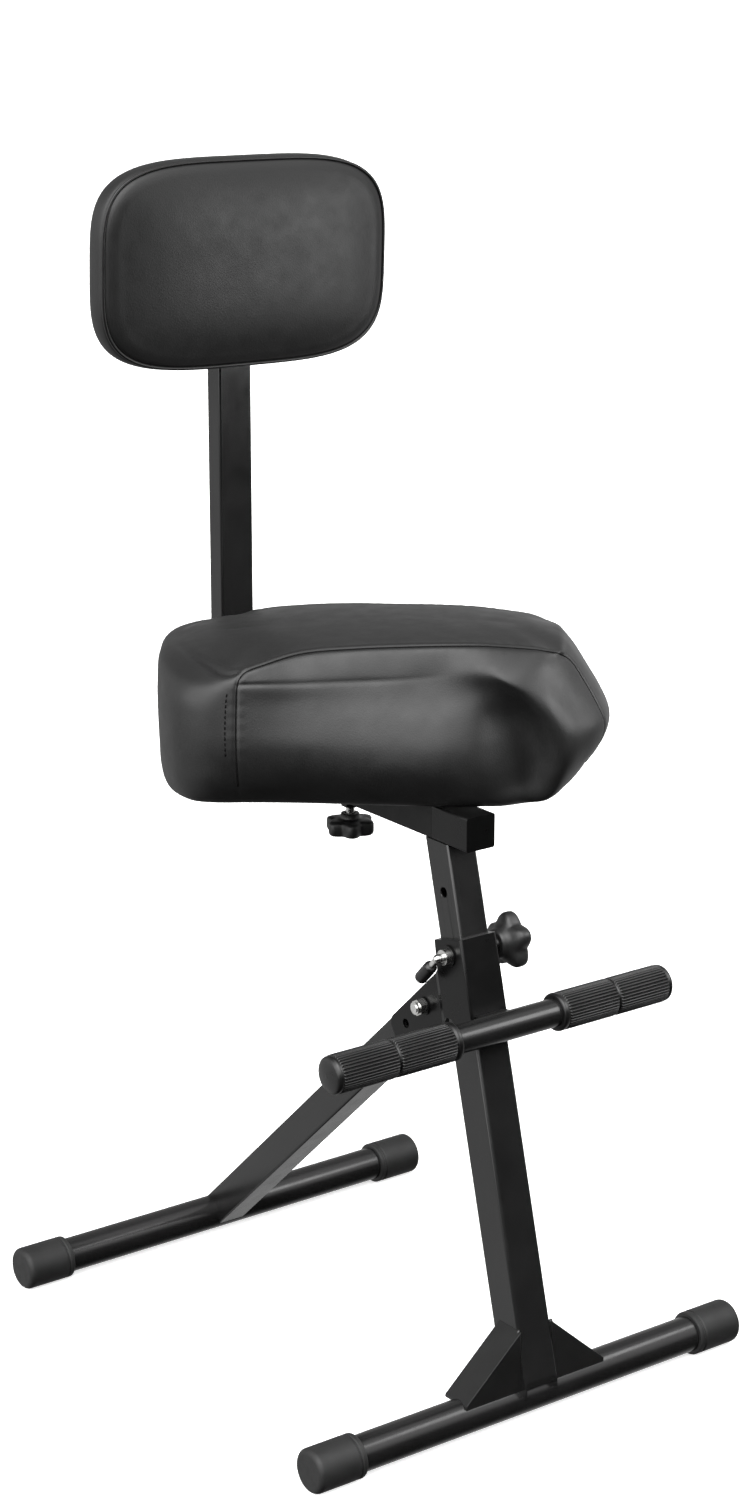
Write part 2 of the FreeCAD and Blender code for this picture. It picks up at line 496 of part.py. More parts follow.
# index plunger on the sitter's right of the post: fixed washer and housing, sliding pin with a bent handle
X1 = -CHK_OUT
out("plunger_washer", post(ring(9.5, BOLT_R + 0.05, (X1, 0, PIN_S), (X1 - 1.6, 0, PIN_S))))
out("plunger_housing", post(ring(6.8, BOLT_R + 0.05, (X1 - 1.6, 0, PIN_S), (X1 - 7.0, 0, PIN_S))))
HX = X1 - 12.0
h_end = local(-123.0, 375.0)
ex, es = h_end[0], h_end[1] - PIN_S
el = math.hypot(ex, es)
ex, es = ex / el, es / el
pin = cyl(BOLT_R, (-stud_tip, 0, PIN_S), (HX, 0, PIN_S)).fuse(Part.makeSphere(BOLT_R, V(HX, 0, PIN_S)))
arm_rod = cyl(3.2, (HX, 0, PIN_S), (HX, ex * el, PIN_S + es * el))
out("plunger_pin", post(pin.fuse(arm_rod).removeSplitter()))
g0, g1 = 11.0, el + 4.0
sleeve = cyl(5.8, (HX, ex * g0, PIN_S + es * g0), (HX, ex * g1, PIN_S + es * g1))
sleeve = sleeve.makeFillet(3.0, [e for e in sleeve.Edges if e.Curve.TypeId == "Part::GeomCircle"])
sleeve = sleeve.cut(cyl(3.2, (HX, 0, PIN_S), (HX, ex * el, PIN_S + es * el)))
out("plunger_grip", post(sleeve))

# backrest depth knob under the beam
DK_Z0, DK_T = 459.5, 14.0
dk = star(16.0, 6.4, 16.0, 6, DK_T).fuse(Part.makeCylinder(8.5, 5.0, V(0, 0, DK_T))).removeSplitter()
dk.Placement = FreeCAD.Placement(V(0, CLAMP_Y, DK_Z0), FreeCAD.Rotation())
d_tip = BEAM_ZC - ARM_HALF - 0.3
d_stud = cyl(BOLT_R, (0, CLAMP_Y, DK_Z0 + 5.0), (0, CLAMP_Y, d_tip))
out("depth_knob", dk.cut(d_stud))
out("depth_stud", d_stud)
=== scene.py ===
import json
import math

import bpy
import numpy as np
from mathutils import Matrix, Vector


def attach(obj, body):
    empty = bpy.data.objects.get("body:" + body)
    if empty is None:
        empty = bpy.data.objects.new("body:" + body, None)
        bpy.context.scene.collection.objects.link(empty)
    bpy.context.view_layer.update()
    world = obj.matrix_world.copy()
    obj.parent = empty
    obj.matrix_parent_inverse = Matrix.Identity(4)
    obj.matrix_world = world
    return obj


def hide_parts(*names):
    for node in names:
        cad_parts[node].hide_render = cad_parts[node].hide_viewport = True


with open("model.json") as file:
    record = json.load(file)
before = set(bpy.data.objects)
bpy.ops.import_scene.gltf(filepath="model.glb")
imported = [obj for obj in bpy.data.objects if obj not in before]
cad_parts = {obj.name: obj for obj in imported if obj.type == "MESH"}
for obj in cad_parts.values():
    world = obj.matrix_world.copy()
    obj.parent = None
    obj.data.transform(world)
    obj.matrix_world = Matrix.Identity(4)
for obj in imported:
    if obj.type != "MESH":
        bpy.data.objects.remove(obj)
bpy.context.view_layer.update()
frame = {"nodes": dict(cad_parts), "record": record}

nodes = frame["nodes"]
scene = bpy.context.scene
MM = 0.001


# ---------------------------------------------------------------- camera, floor and light
cam_data = bpy.data.cameras.new("camera")
cam_data.sensor_fit = "AUTO"
cam_data.sensor_width = 36.0
cam_data.lens = 78.006
cam_data.clip_end = 200.0
cam = bpy.data.objects.new("camera", cam_data)
right = Vector((0.8029, -0.5961, 0.0)).normalized()
back = Vector((-0.5709, -0.7690, 0.28756)).normalized()
up = back.cross(right).normalized()
right = up.cross(back).normalized()
m = Matrix.Identity(4)
for i in range(3):
    m[i][0], m[i][1], m[i][2] = right[i], up[i], back[i]
m.translation = Vector((-1.6142, -2.1836, 1.3568))
cam.matrix_world = m
scene.collection.objects.link(cam)
scene.camera = cam


def new_object(name, verts, faces, smooth=True):
    me = bpy.data.meshes.new(name)
    me.from_pydata([tuple(v) for v in verts], [], [tuple(f) for f in faces])
    me.validate()
    me.update()
    if smooth:
        me.polygons.foreach_set("use_smooth", [True] * len(me.polygons))
    ob = bpy.data.objects.new(name, me)
    scene.collection.objects.link(ob)
    return ob


floor = new_object("floor", [(-60, -60, 0), (60, -60, 0), (60, 60, 0), (-60, 60, 0)], [(0, 1, 2, 3)], False)
floor.visible_diffuse = False      # the floor is lit on its own: dark undersides stay dark, as with flags in a studio
floor.visible_glossy = False

# plain backdrop behind the floor's edge, for low views; it neither lights nor shades the stool
ring = [(24.0 * math.cos(q), 24.0 * math.sin(q)) for q in np.linspace(0, 2 * math.pi, 48, endpoint=False)]
backdrop = new_object("backdrop", [(x, y, -0.5) for x, y in ring] + [(x, y, 24.0) for x, y in ring],
                      [(i, (i + 1) % 48, 48 + (i + 1) % 48, 48 + i) for i in range(48)] + [tuple(range(48, 96))], False)
backdrop.visible_diffuse = False
backdrop.visible_glossy = False
backdrop.visible_transmission = False
backdrop.visible_shadow = False

world = bpy.data.worlds.new("studio")
world.use_nodes = True
scene.world = world
wn, wl = world.node_tree.nodes, world.node_tree.links
sky = wn["Background"]
wdir = wn.new("ShaderNodeTexCoord").outputs["Generated"]


def patch(toward, start, full, power):
    """Soft-edged bright area of the studio round one direction; start and full are cosines from its middle."""
    d = wn.new("ShaderNodeVectorMath")
    d.operation = "DOT_PRODUCT"
    wl.new(wdir, d.inputs[0])
    d.inputs[1].default_value = Vector(toward).normalized()
    r = wn.new("ShaderNodeMapRange")
    r.interpolation_type = "SMOOTHSTEP"
    r.inputs["From Min"].default_value = start
    r.inputs["From Max"].default_value = full
    r.inputs["To Min"].default_value = 0.0
    r.inputs["To Max"].default_value = power
    wl.new(d.outputs["Value"], r.inputs["Value"])
    return r.outputs["Result"]


def total(parts):
    out = parts[0]
    for q in parts[1:]:
        n = wn.new("ShaderNodeMath")
        n.operation = "ADD"
        wl.new(out, n.inputs[0])
        wl.new(q, n.inputs[1])
        out = n.outputs["Value"]
    return out


glow = total([patch((0.0, 0.0, 1.0), 0.0, 0.30, 0.08),
              patch((-0.42, -0.56, 0.71), 0.80, 0.95, 3.7),
              patch((-0.92, -0.06, 0.38), 0.82, 0.95, 3.6),
              patch((-0.20, -0.20, 0.96), 0.80, 0.96, 2.0),
              patch((0.62, -0.45, 0.64), 0.74, 0.94, 1.0),
              patch((0.16, -0.68, 0.72), 0.82, 0.96, 0.8),
              patch((0.545, 0.735, 0.40), 0.50, 0.90, 0.26),
              patch((-0.70, 0.60, 0.38), 0.80, 0.95, 0.5),
              patch((-0.571, 0.769, -0.40), 0.55, 0.92, 0.62),
              patch((0.85, 0.35, -0.35), 0.60, 0.92, 0.62)])
wl.new(glow, sky.inputs["Strength"])
sky.inputs["Color"].default_value = (1.0, 1.0, 1.0, 1.0)
scene.view_settings.view_transform = "Standard"


def softbox(name, at, aim, w, h, power):
    d = bpy.data.lights.new(name, "AREA")
    d.shape = "RECTANGLE"
    d.size, d.size_y = w, h
    d.energy = power
    o = bpy.data.objects.new(name, d)
    o.location = at
    o.rotation_euler = (Vector(aim) - Vector(at)).to_track_quat("-Z", "Y").to_euler()
    scene.collection.objects.link(o)
    return o


def sun(name, toward, strength, width):
    d = bpy.data.lights.new(name, "SUN")
    d.energy = strength
    d.angle = math.radians(width)
    o = bpy.data.objects.new(name, d)
    o.rotation_euler = Vector(toward).to_track_quat("-Z", "Y").to_euler()
    scene.collection.objects.link(o)
    return o


sun("key", (0.30, 0.35, -0.88), 0.4, 40.0)
softbox("pad_box", (0.70, -0.66, 0.93), (0.0, 0.15, 0.95), 0.55, 0.46, 3.9)


# ---------------------------------------------------------------- materials
def material(name, rough, metallic=0.0, level=0.5):
    mat = bpy.data.materials.new(name)
    mat.use_nodes = True
    b = mat.node_tree.nodes["Principled BSDF"]
    b.inputs["Metallic"].default_value = metallic
    b.inputs["Roughness"].default_value = rough
    b.inputs["Specular IOR Level"].default_value = level
    return mat, mat.node_tree, b


def coords(nt):
    return nt.nodes.new("ShaderNodeTexCoord").outputs["Object"]


def noise(nt, vec, scale, detail=3.0, rough=0.55):
    n = nt.nodes.new("ShaderNodeTexNoise")
    n.inputs["Scale"].default_value = scale
    n.inputs["Detail"].default_value = detail
    n.inputs["Roughness"].default_value = rough
    nt.links.new(vec, n.inputs["Vector"])
    return n.outputs["Fac"]


def ramp(nt, fac, stops):
    r = nt.nodes.new("ShaderNodeValToRGB")
    while len(r.color_ramp.elements) < len(stops):
        r.color_ramp.elements.new(0.5)
    for e, (p, c) in zip(r.color_ramp.elements, stops):
        e.position = p
        e.color = (c[0], c[1], c[2], 1.0) if isinstance(c, tuple) else (c, c, c, 1.0)
    nt.links.new(fac, r.inputs["Fac"])
    return r.outputs["Color"]


def spread(nt, fac, lo, hi):
    r = nt.nodes.new("ShaderNodeMapRange")
    r.inputs["From Min"].default_value = 0.3
    r.inputs["From Max"].default_value = 0.7
    r.inputs["To Min"].default_value = lo
    r.inputs["To Max"].default_value = hi
    nt.links.new(fac, r.inputs["Value"])
    return r.outputs["Result"]


def bump(nt, b, height, strength, distance, before=None):
    n = nt.nodes.new("ShaderNodeBump")
    n.inputs["Strength"].default_value = strength
    n.inputs["Distance"].default_value = distance
    nt.links.new(height, n.inputs["Height"])
    if before is not None:
        nt.links.new(before, n.inputs["Normal"])
    nt.links.new(n.outputs["Normal"], b.inputs["Normal"])
    return n.outputs["Normal"]


def powder_coat(name, tone, rough=0.22, level=0.5):
    """Satin black powder coat with its fine orange peel."""
    mat, nt, b = material(name, rough, 0.0, level)
    v = coords(nt)
    nt.links.new(ramp(nt, noise(nt, v, 14.0), [(0.3, tone * 0.85), (0.7, tone * 1.2)]), b.inputs["Base Color"])
    nt.links.new(spread(nt, noise(nt, v, 55.0, 4.0), rough - 0.04, rough + 0.04), b.inputs["Roughness"])
    bump(nt, b, noise(nt, v, 900.0, 2.0), 0.05, 0.0003)
    return mat


def rubber(name, tone, rough):
    mat, nt, b = material(name, rough, 0.0, 0.4)
    v = coords(nt)
    nt.links.new(ramp(nt, noise(nt, v, 30.0), [(0.3, tone * 0.8), (0.7, tone * 1.25)]), b.inputs["Base Color"])
    nt.links.new(spread(nt, noise(nt, v, 120.0, 4.0), rough - 0.07, rough + 0.08), b.inputs["Roughness"])
    bump(nt, b, noise(nt, v, 1500.0, 2.0), 0.2, 0.0003)
    return mat


def plastic(name, tone, rough):
    """Moulded plastic with a spark-eroded texture."""
    mat, nt, b = material(name, rough, 0.0, 0.5)
    v = coords(nt)
    nt.links.new(ramp(nt, noise(nt, v, 40.0), [(0.3, tone * 0.85), (0.7, tone * 1.15)]), b.inputs["Base Color"])
    nt.links.new(spread(nt, noise(nt, v, 200.0, 3.0), rough - 0.05, rough + 0.06), b.inputs["Roughness"])
    bump(nt, b, noise(nt, v, 2200.0, 1.0), 0.15, 0.0003)
    return mat


def zinc(name):
    """Bright zinc plating with faint turning marks and cloudiness."""
    mat, nt, b = material(name, 0.25, 1.0)
    v = coords(nt)
    nt.links.new(ramp(nt, noise(nt, v, 160.0), [(0.3, (0.62, 0.62, 0.60)), (0.7, (0.78, 0.78, 0.77))]),
                 b.inputs["Base Color"])
    nt.links.new(spread(nt, noise(nt, v, 400.0, 4.0), 0.18, 0.34), b.inputs["Roughness"])
    bump(nt, b, noise(nt, v, 2500.0, 2.0), 0.1, 0.0002)
    return mat


def leather(name, tone, rough):
    """Black upholstery leather: a pebbled grain of small cells over slow waves, semi-gloss."""
    mat, nt, b = material(name, rough, 0.0, 0.46)
    v = coords(nt)
    nt.links.new(ramp(nt, noise(nt, v, 9.0), [(0.3, tone * 0.88), (0.7, tone * 1.15)]), b.inputs["Base Color"])
    nt.links.new(spread(nt, noise(nt, v, 60.0, 4.0), rough - 0.04, rough + 0.05), b.inputs["Roughness"])
    warp = nt.nodes.new("ShaderNodeTexVoronoi")
    warp.feature = "SMOOTH_F1"
    warp.inputs["Scale"].default_value = 780.0
    warp.inputs["Smoothness"].default_value = 0.6
    nt.links.new(v, warp.inputs["Vector"])
    first = bump(nt, b, warp.outputs["Distance"], 0.16, 0.0004)
    bump(nt, b, noise(nt, v, 22.0, 2.0), 0.10, 0.004, first)
    b.inputs["Sheen Weight"].default_value = 0.0
    return mat


def plywood(name):
    """Plywood stained black, with faint grain."""
    mat, nt, b = material(name, 0.6, 0.0, 0.35)
    v = coords(nt)
    mp = nt.nodes.new("ShaderNodeMapping")
    mp.inputs["Scale"].default_value = (6.0, 120.0, 120.0)
    nt.links.new(v, mp.inputs["Vector"])
    g = noise(nt, mp.outputs["Vector"], 1.0, 5.0)
    nt.links.new(ramp(nt, g, [(0.35, (0.014, 0.012, 0.011)), (0.7, (0.035, 0.030, 0.026))]), b.inputs["Base Color"])
    nt.links.new(spread(nt, g, 0.55, 0.72), b.inputs["Roughness"])
    bump(nt, b, g, 0.2, 0.0006)
    return mat


def thread_mat(name):
    mat, nt, b = material(name, 0.75, 0.0, 0.1)
    v = coords(nt)
    nt.links.new(ramp(nt, noise(nt, v, 900.0), [(0.3, 0.002), (0.7, 0.004)]), b.inputs["Base Color"])
    bump(nt, b, noise(nt, v, 3000.0), 0.3, 0.0002)
    return mat


M_TUBE = powder_coat("tube_coat", 0.009)
M_BRACKET = powder_coat("bracket_coat", 0.003, 0.30, 0.24)
# darker, duller copy of the black powder coat for the seat beam: painted shade of the dark space under the seat, not a
# different finish
M_BEAM_SHADED = powder_coat("beam_coat_painted_shade", 0.004, 0.52, 0.22)
M_RUBBER = rubber("foot_rubber", 0.012, 0.55)
M_GRIP = plastic("grip_rubber", 0.005, 0.32)
M_PLASTIC = plastic("moulded_plastic", 0.013, 0.42)
M_ZINC = zinc("zinc_plate")
M_LEATHER = leather("black_leather", 0.009, 0.43)
M_PIPING = leather("piping_leather", 0.004, 0.36)
M_PLY = plywood("stained_plywood")
M_THREAD = thread_mat("black_thread")

mat, nt, b = material("floor_paint", 0.75, 0.0, 0.2)
v = coords(nt)
nt.links.new(ramp(nt, noise(nt, v, 0.6), [(0.3, 0.86), (0.7, 0.88)]), b.inputs["Base Color"])
b.inputs["Emission Color"].default_value = (1.0, 1.0, 1.0, 1.0)
b.inputs["Emission Strength"].default_value = 0.62
floor.data.materials.append(mat)
mat, nt, b = material("backdrop_paint", 0.9, 0.0, 0.0)
b.inputs["Base Color"].default_value = (0.8, 0.8, 0.8, 1.0)
b.inputs["Emission Color"].default_value = (1.0, 1.0, 1.0, 1.0)
b.inputs["Emission Strength"].default_value = 1.0
backdrop.data.materials.append(mat)

SLOT_MAT = {"tube": M_TUBE, "bracket": M_BRACKET, "silver": M_ZINC, "rubber": M_RUBBER, "plastic": M_PLASTIC,
            "leather": M_LEATHER, "board": M_PLY}
slot_of = {s["node"]: s["material_slot"] for s in frame["record"]["subparts"]}
for name, ob in nodes.items():
    ob.data.materials.clear()
    ob.data.materials.append(SLOT_MAT[slot_of[name]])
nodes["pivot_washers"].data.materials[0] = M_BRACKET
nodes["plunger_washer"].data.materials[0] = M_BRACKET
nodes["plunger_grip"].data.materials[0] = M_GRIP
# the seat beam takes the darker coat: painted shade under the seat
nodes["seat_beam"].data.materials[0] = M_BEAM_SHADED
nodes["post_gussets"].data.materials[0] = powder_coat("gusset_coat", 0.009, 0.34, 0.42)


# ---------------------------------------------------------------- helpers for grids of points
def tangents(P, closed):
    n = len(P)
    d = np.linalg.norm(np.roll(P, -1, 0) - P, axis=-1)
    d = np.maximum(d, 1e-6)
    s = (np.roll(P, -1, 0) - P) / d[..., None]
    T = (s * np.roll(d, 1, 0)[..., None] + np.roll(s, 1, 0) * d[..., None]) / (d + np.roll(d, 1, 0))[..., None]
    if not closed:
        T[0], T[-1] = s[0], s[n - 2]
    return T, d


def spline(P, at, closed=False):
    """Cubic through the rows of P (n, ..., 3); at lists (interval, fraction)."""
    P = np.asarray(P, float)
    T, d = tangents(P, closed)
    out = []
    n = len(P)
    for i, f in at:
        j = (i + 1) % n
        h = d[i][..., None]
        f2, f3 = f * f, f * f * f
        out.append((2 * f3 - 3 * f2 + 1) * P[i] + (f3 - 2 * f2 + f) * h * T[i]
                   + (3 * f2 - 2 * f3) * P[j] + (f3 - f2) * h * T[j])
    return np.array(out)


def grid_normals(G):
    a = np.roll(G, -1, 1) - np.roll(G, 1, 1)
    b = np.empty_like(G)
    b[1:-1] = G[2:] - G[:-2]
    b[0], b[-1] = G[1] - G[0], G[-1] - G[-2]
    n = np.cross(a, b)
    return n / np.maximum(np.linalg.norm(n, axis=-1), 1e-9)[..., None]


def grid_faces(rows, cols, flip=False):
    f = []
    for r in range(rows - 1):
        for c in range(cols):
            q = (r * cols + c, r * cols + (c + 1) % cols, (r + 1) * cols + (c + 1) % cols, (r + 1) * cols + c)
            f.append(q[::-1] if flip else q)
    return f


def weld(ob, dist):
    import bmesh
    bm = bmesh.new()
    bm.from_mesh(ob.data)
    bmesh.ops.remove_doubles(bm, verts=bm.verts, dist=dist)
    bmesh.ops.dissolve_degenerate(bm, edges=bm.edges, dist=dist * 0.5)
    bmesh.ops.recalc_face_normals(bm, faces=bm.faces)
    bm.to_mesh(ob.data)
    bm.free()
    ob.data.polygons.foreach_set("use_smooth", [True] * len(ob.data.polygons))
    ob.data.update()


def join(name, parts):
    """One object from several lists of (verts, faces)."""
    verts, faces = [], []
    for v, f in parts:
        o = len(verts)
        verts += [tuple(p) for p in v]
        faces += [tuple(i + o for i in q) for q in f]
    return new_object(name, verts, faces)


def tube(path, radius, sides=8, closed=False):
    """Verts and faces of a round tube along points, with closed ends."""
    P = np.asarray(path, float)
    n = len(P)
    T = np.roll(P, -1, 0) - np.roll(P, 1, 0)
    if not closed:
        T[0], T[-1] = P[1] - P[0], P[-1] - P[-2]
    T /= np.linalg.norm(T, axis=1)[:, None]
    ref = np.array((0.0, 0.0, 1.0)) if abs(T[0][2]) < 0.9 else np.array((1.0, 0.0, 0.0))
    nrm = np.cross(T[0], ref)
    nrm /= np.linalg.norm(nrm)
    verts = []
    r = np.broadcast_to(np.asarray(radius, float), (n,))
    for i in range(n):
        nrm = nrm - T[i] * (nrm @ T[i])
        nrm /= np.linalg.norm(nrm)
        bi = np.cross(T[i], nrm)
        for k in range(sides):
            a = 2 * math.pi * k / sides
            verts.append(P[i] + r[i] * (math.cos(a) * nrm + math.sin(a) * bi))
    faces = []
    for i in range(n if closed else n - 1):
        j = (i + 1) % n
        for k in range(sides):
            q = (k + 1) % sides
            faces.append((i * sides + k, i * sides + q, j * sides + q, j * sides + k))
    if not closed:
        faces.append(tuple(range(sides))[::-1])
        faces.append(tuple(range((n - 1) * sides, n * sides)))
    return verts, faces


# ---------------------------------------------------------------- saddle
SWIVEL_Y = -21.0
TURN = math.radians(53.0)      # saddle turned to the sitter's left at rest


def saddle_world(P):
    """Saddle frame (u forward, v to the sitter's left, z up, mm) to the stool frame in metres."""
    P = np.asarray(P, float)
    u, v, z = P[..., 0], P[..., 1], P[..., 2]
    return np.stack([math.sin(TURN) * u + math.cos(TURN) * v, SWIVEL_Y - math.cos(TURN) * u + math.sin(TURN) * v, z],
                    -1) * MM


# half outlines, rear middle to nose middle; each row goes once round the saddle, and each column is one feature:
# 0 rear middle, 4 rear corner, 6 side seam, 11 end of the side panel, 13 thigh scoop, 14 nose ridge, 16 nose seam
SEAM_I, NOSE_I = 6, 16
bottom = [(-184, 0, 531), (-183.5, 25, 531), (-181, 50, 531), (-174, 75.5, 531), (-160, 94.5, 531), (-139, 100, 531),
          (-117.5, 99.5, 531), (-67, 99, 530.5), (-22, 99.5, 529.5), (20, 99.5, 528.5), (57, 98.5, 527.5), (84, 96.5, 527),
          (106, 90, 525.5), (126, 78, 524.5), (144, 77, 526.5), (155, 60.5, 530), (165, 41, 533.5), (171, 20, 535),
          (173, 0, 535.5)]
low = [(-188.7, 0, 546), (-188.2, 25, 546), (-185.8, 50, 546), (-179.2, 76.3, 546), (-165.8, 98, 546), (-145.3, 109.5, 546),
       (-118, 111, 546), (-66, 110.5, 545.5), (-22, 110.5, 545), (19, 110, 544), (57, 108, 543), (84, 103.5, 542),
       (106, 90.5, 542), (126, 76.2, 543), (150, 84, 545), (165, 67, 546), (175, 43.5, 549), (182, 20, 550),
       (184.5, 0, 550.5)]
mid = [(-189.6, 0, 564), (-189.1, 25, 564), (-186.8, 50, 564), (-180.3, 76.5, 564), (-167.3, 98.7, 564), (-147.2, 111, 564),
       (-118.5, 116, 564), (-66, 117.3, 563), (-22, 116.7, 562), (19, 115.8, 560), (57, 112.5, 558), (84, 104.5, 558),
       (106, 89, 560), (126, 76.6, 562), (154, 88.7, 563), (174, 69, 565), (188, 44, 567), (194, 20, 569),
       (196, 0, 569.5)]
wide = [(-190.3, 0, 582), (-189.8, 25, 582), (-187.5, 50, 582), (-181, 76.5, 582), (-168, 98.8, 582),
        (-148, 111.3, 582), (-119, 117.7, 582), (-66, 117.5, 581), (-22, 115.5, 579), (18, 114, 576), (56, 111, 575),
        (83, 102, 576), (105, 86.5, 578), (124, 77.2, 580), (149.5, 90.2, 581), (176, 68, 582), (192, 42, 582.5),
        (197, 20, 582.5), (198.3, 0, 582.5)]
high = [(-190.8, 0, 604), (-190.3, 25, 604), (-187.8, 50, 604), (-181.2, 76, 604), (-168, 98, 604), (-147.8, 110, 604),
        (-119, 114.5, 604), (-66, 110, 604), (-22, 106.5, 603), (17, 103.5, 602), (55, 100, 601), (81, 93.5, 601),
        (101, 82.6, 602), (117, 79.2, 603), (140.5, 91.2, 602.5), (166, 66, 603), (183.5, 39, 603), (189.5, 19, 602),
        (190.5, 0, 602)]
neck = [(-190.3, 0, 622), (-189.8, 25, 622), (-187, 49.5, 622), (-179.8, 75, 622), (-166, 96.3, 622), (-145.5, 108, 622),
        (-118.7, 110.7, 622), (-66, 103.5, 620), (-22, 98, 619.5), (17, 93.5, 619), (54, 89.5, 619), (78, 86.8, 620),
        (95, 84.8, 621), (107, 86.2, 622), (125.5, 90.6, 621), (154, 66, 623), (172.5, 36, 622), (178.5, 18, 620.5),
        (180, 0, 620)]
crease = [(-187.5, 0, 640.5), (-187, 24.5, 640.5), (-183, 48, 639.5), (-173.5, 72.5, 637), (-157.5, 93.5, 634.5),
          (-138.5, 105, 633), (-118.5, 107.8, 635), (-66, 99.5, 633), (-22, 92, 632.7), (17, 87, 633), (49, 82.5, 635.5),
          (66, 82, 639.5), (78, 82.9, 641.3), (90, 85.2, 640.8), (103, 89.2, 636.5), (140, 69, 641), (160, 41, 641),
          (165, 21, 641.5), (165.5, 0, 642)]
roll = [(-181, 0, 646.3), (-180, 23.5, 646.3), (-175, 46.2, 645.3), (-164.5, 69.5, 642.3), (-149, 90.3, 639),
        (-133.4, 102.7, 637), (-117.6, 105.3, 639.5), (-66, 92.4, 645.3), (-22, 85.8, 646.6), (17, 81.1, 647.2),
        (52, 77.4, 648.5), (71, 76.2, 650.2), (83.5, 76.3, 650.6), (96, 77.2, 649.3), (110, 77.2, 646.6),
        (135, 66, 648), (154.5, 46, 645), (159.5, 23, 647.5), (160.5, 0, 648.5)]
seam = [(-172.5, 0, 648), (-170.5, 20, 648.3), (-164, 42.5, 648), (-152.5, 65, 646.5), (-139, 86, 643.5),
        (-127.5, 99.5, 641), (-116.5, 102, 644), (-66, 83, 656), (-22, 77.5, 658.8), (17, 73, 659.3), (54, 70.2, 659.4),
        (74, 68.3, 659), (87, 66.8, 658.5), (101, 64.8, 657.3), (116, 62.3, 655.8), (133, 60.3, 653.3),
        (150.5, 52.5, 648), (155, 26, 652), (156, 0, 653)]


def level(half, z=None):
    h = [(p[0], p[1], p[2] if len(p) == 3 else z) for p in half]
    return [(u, -v, z) for u, v, z in h] + [(u, v, z) for u, v, z in reversed(h[1:-1])]


def shrunk(half, ku, kv, dz):
    return level([(u * ku, v * kv, z + dz) for u, v, z in half])


LV = [shrunk(bottom, 0.80, 0.72, 1.5), shrunk(bottom, 0.93, 0.90, -0.5), shrunk(bottom, 0.985, 0.98, -1.5),
      shrunk(bottom, 1.0, 1.0, 0.5), level(low), level(mid), level(wide), level(high), level(neck), level(crease),
      level(roll), level(seam)]
L_SEAM = len(LV) - 1
S = np.array(LV[L_SEAM])


def crown(u):
    return np.interp(u, [-175, -150, -120, -90, -50, 0, 50, 90, 120, 145, 158],
                     [648.3, 651.5, 655.5, 659, 662.5, 664, 664, 662.5, 660, 656.5, 653])


for w in (0.86, 0.66, 0.44, 0.22, 0.0):
    su = S[:, 0] * 0.72
    top = np.stack([su + w * (S[:, 0] - su), w * S[:, 1], S[:, 2]], -1)
    top[:, 2] = S[:, 2] + (np.array([crown(x) for x in su]) - S[:, 2]) * (1.0 - w ** 2.0)
    LV.append([tuple(p) for p in top])
LV = np.array(LV)
NST = LV.shape[1]
STEP = 2.3

rows = []
for i in range(len(LV) - 1):
    k = max(2, int(math.ceil(np.percentile(np.linalg.norm(LV[i + 1] - LV[i], axis=1), 80) / STEP)))
    rows += [(i, j / k) for j in range(k)]
rows.append((len(LV) - 2, 1.0))
cols = []
for i in range(NST):
    k = max(2, int(math.ceil(np.max(np.linalg.norm(LV[3:12, (i + 1) % NST] - LV[3:12, i], axis=1)) / STEP)))
    cols += [(i, j / k) for j in range(k)]

G = np.array([spline(l, cols, True) for l in LV])
G = spline(G, rows)
NR, NC = G.shape[:2]
colpos = np.array([i + f for i, f in cols])
rowpos = np.array([i + f for i, f in rows])


def smooth_grid(G, times, first, last):
    """Evens the surface out between two rows."""
    for _ in range(times):
        avg = G.copy()
        avg[1:-1] = 0.25 * (G[2:] + G[:-2] + np.roll(G, 1, 1)[1:-1] + np.roll(G, -1, 1)[1:-1])
        G[first:last] = 0.4 * G[first:last] + 0.6 * avg[first:last]
    return G


r_low = int(np.argmin(abs(rowpos - 2.0)))
G = smooth_grid(G, 14, r_low, NR - 1)


def outward(G, centre):
    N = grid_normals(G)
    return -N if np.mean(np.sum(N * (G - centre), -1)) < 0 else N


N = outward(G, np.array((0.0, 0.0, 600.0)))


def near_line(G, line):
    """Distance of every grid point to a polyline (n, 3), and how far along the line it lies."""
    best = np.full(G.shape[:2], 1e9)
    along = np.zeros(G.shape[:2])
    run = 0.0
    for a, b in zip(line[:-1], line[1:]):
        ab = b - a
        n = math.sqrt(max(ab @ ab, 1e-9))
        t = np.clip(((G - a) @ ab) / (n * n), 0, 1)
        d = np.linalg.norm(G - a - t[..., None] * ab, axis=-1)
        hit = d < best
        best = np.where(hit, d, best)
        along = np.where(hit, run + t * n, along)
        run += n
    return best, along, run


def even(line, step, times=3):
    P = np.array(line, float)
    d = np.concatenate([[0], np.cumsum(np.linalg.norm(np.diff(P, axis=0), axis=1))])
    s = np.linspace(0, d[-1], max(2, int(d[-1] / step)))
    P = np.stack([np.interp(s, d, P[:, k]) for k in range(3)], -1)
    for _ in range(times):
        P[1:-1] = 0.25 * P[:-2] + 0.5 * P[1:-1] + 0.25 * P[2:]
    return P


def column(at):
    return int(np.argmin(abs(colpos - (at % NST))))


def row(at):
    return int(np.argmin(abs(rowpos - at)))


def seam_line(side):
    """Side seam from the bottom up, along the top edge, and down the front of the nose."""
    st, no = (SEAM_I, NOSE_I) if side < 0 else (NST - SEAM_I, NST - NOSE_I)
    c0, c1 = column(st), column(no)
    r1, r0 = row(L_SEAM), row(2.2)
    step = 1 if c1 > c0 else -1
    return ([G[r, c0] for r in range(r0, r1 - 3)] + [G[r1, c] for c in range(c0 + 4 * step, c1 - 3 * step, step)]
            + [G[r, c1] for r in range(r1 - 3, r0 - 1, -1)])


